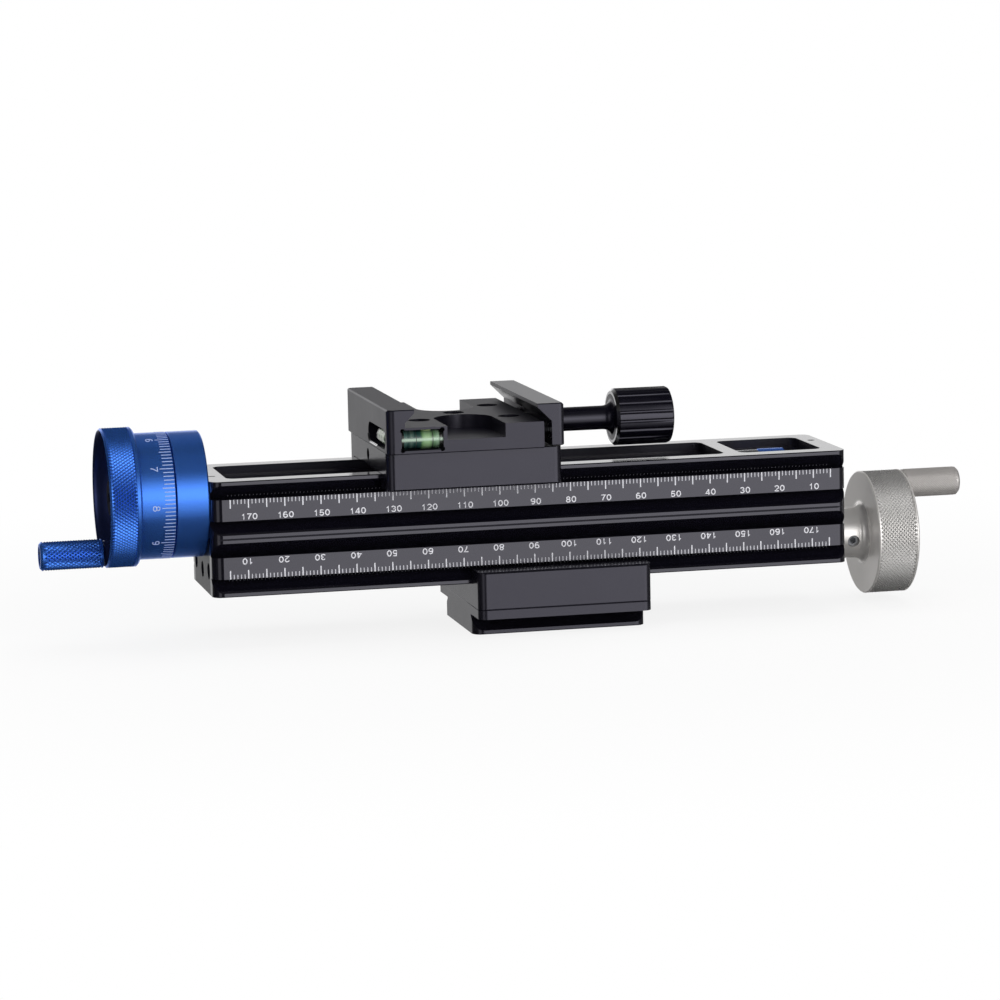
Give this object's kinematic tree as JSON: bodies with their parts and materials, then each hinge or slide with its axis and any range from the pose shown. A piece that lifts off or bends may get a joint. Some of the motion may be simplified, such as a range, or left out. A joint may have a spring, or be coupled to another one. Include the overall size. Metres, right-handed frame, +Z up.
{
  "type": "macro focusing rail",
  "caption": "Two-deck macro focusing rail: back-to-back dovetail rails, screw-driven carriages, quick-release clamp, graduated drum and crank.",
  "frame": {"origin": "centre of the foot dovetail's bottom face, at the mouth of its tripod thread", "axes": "+X along the rails towards the crank, +Y to the back, +Z up, with the rails where they are focused"},
  "size_m": [0.2637, 0.0586, 0.0647],
  "materials": {
    "black_anodised": "satin black anodised aluminium",
    "blue_anodised": "satin blue anodised aluminium",
    "silver_anodised": "bead-blasted champagne silver",
    "steel": "turned steel",
    "black_screw": "black oxide steel",
    "bronze": "machined bronze",
    "gib_plastic": "natural acetal",
    "vial": "clear green level vial"
  },
  "bodies": {
    "foot_carriage": {"foot_plate": "black_anodised", "lower_saddle": "black_anodised", "foot_screw_1": "black_screw", "foot_screw_2": "black_screw", "foot_screw_3": "black_screw", "foot_screw_4": "black_screw", "stop_screw_left": "black_screw", "stop_screw_right": "black_screw", "lower_nut": "bronze", "lower_nut_screw_1": "black_screw", "lower_nut_screw_2": "black_screw", "lower_gib": "gib_plastic", "lower_gib_screw_1": "black_screw", "lower_gib_screw_2": "black_screw", "lower_lock_screw": "black_screw"},
    "rail": {"upper_rail": "black_anodised", "lower_rail": "black_anodised", "joining_screw_1": "black_screw", "joining_screw_2": "black_screw", "joining_screw_3": "black_screw", "index_collar": "blue_anodised", "collar_screw_front": "black_screw", "collar_screw_back": "black_screw", "upper_bush": "bronze", "lower_bush": "bronze"},
    "upper_screw": {"upper_lead_screw": "steel", "upper_lock_nut": "steel", "upper_stop_collar": "blue_anodised", "graduated_drum": "blue_anodised", "drum_cap_screw": "black_screw", "drum_handle_pin": "steel"},
    "drum_handle": {"drum_handle": "blue_anodised"},
    "lower_screw": {"lower_lead_screw": "steel", "lower_lock_nut": "steel", "lower_stop_collar": "blue_anodised", "crank_wheel": "silver_anodised", "crank_grub_screw": "steel", "crank_handle_pin": "steel"},
    "crank_handle": {"crank_handle": "silver_anodised"},
    "upper_carriage": {"upper_saddle": "black_anodised", "upper_nut": "bronze", "upper_nut_screw_1": "black_screw", "upper_nut_screw_2": "black_screw", "upper_gib": "gib_plastic", "upper_gib_screw_1": "black_screw", "upper_gib_screw_2": "black_screw", "upper_lock_screw": "black_screw", "clamp_body": "black_anodised", "clamp_screw_1": "black_screw", "clamp_screw_2": "black_screw", "clamp_screw_3": "black_screw", "clamp_screw_4": "black_screw", "clamp_screw_5": "black_screw", "front_vial": "vial", "side_vial": "vial"},
    "moving_jaw": {"moving_jaw": "black_anodised", "guide_pin_front": "steel", "guide_pin_back": "steel"},
    "clamp_knob": {"clamp_knob": "black_anodised", "clamp_bolt": "steel"}
  },
  "joints": [
    {"name": "rail_slide", "type": "slide", "parent": "foot_carriage", "child": "rail", "axis": [1, 0, 0], "range_m": [-0.0584, 0.0523]},
    {"name": "lower_screw_spin", "type": "hinge", "parent": "rail", "child": "lower_screw", "pos_m": [-0.0066, 0, 0.01975], "axis": [1, 0, 0], "range_deg": [-21024, 18828]},
    {"name": "carriage_slide", "type": "slide", "parent": "rail", "child": "upper_carriage", "axis": [1, 0, 0], "range_m": [-0.0465, 0.0639]},
    {"name": "upper_screw_spin", "type": "hinge", "parent": "rail", "child": "upper_screw", "pos_m": [-0.0066, 0, 0.04085], "axis": [1, 0, 0], "range_deg": [-23004, 16740]},
    {"name": "drum_handle_spin", "type": "hinge", "parent": "upper_screw", "child": "drum_handle", "pos_m": [-0.1316, 0, 0.02565], "axis": [1, 0, 0], "continuous": true},
    {"name": "crank_handle_spin", "type": "hinge", "parent": "lower_screw", "child": "crank_handle", "pos_m": [0.1144, 0, 0.0332], "axis": [1, 0, 0], "continuous": true},
    {"name": "jaw_slide", "type": "slide", "parent": "upper_carriage", "child": "moving_jaw", "axis": [1, 0, 0], "range_m": [-0.0021, 0.004]},
    {"name": "clamp_knob_spin", "type": "hinge", "parent": "moving_jaw", "child": "clamp_knob", "pos_m": [0.0012, 0, 0.0564], "axis": [1, 0, 0], "range_deg": [-945, 1800]}
  ],
  "couplings": [
    {"joint": "lower_screw_spin", "follows": "rail_slide", "rad_per_m": 6283.2},
    {"joint": "upper_screw_spin", "follows": "carriage_slide", "rad_per_m": -6283.2},
    {"joint": "clamp_knob_spin", "follows": "jaw_slide", "rad_per_m": 7854}
  ]
}
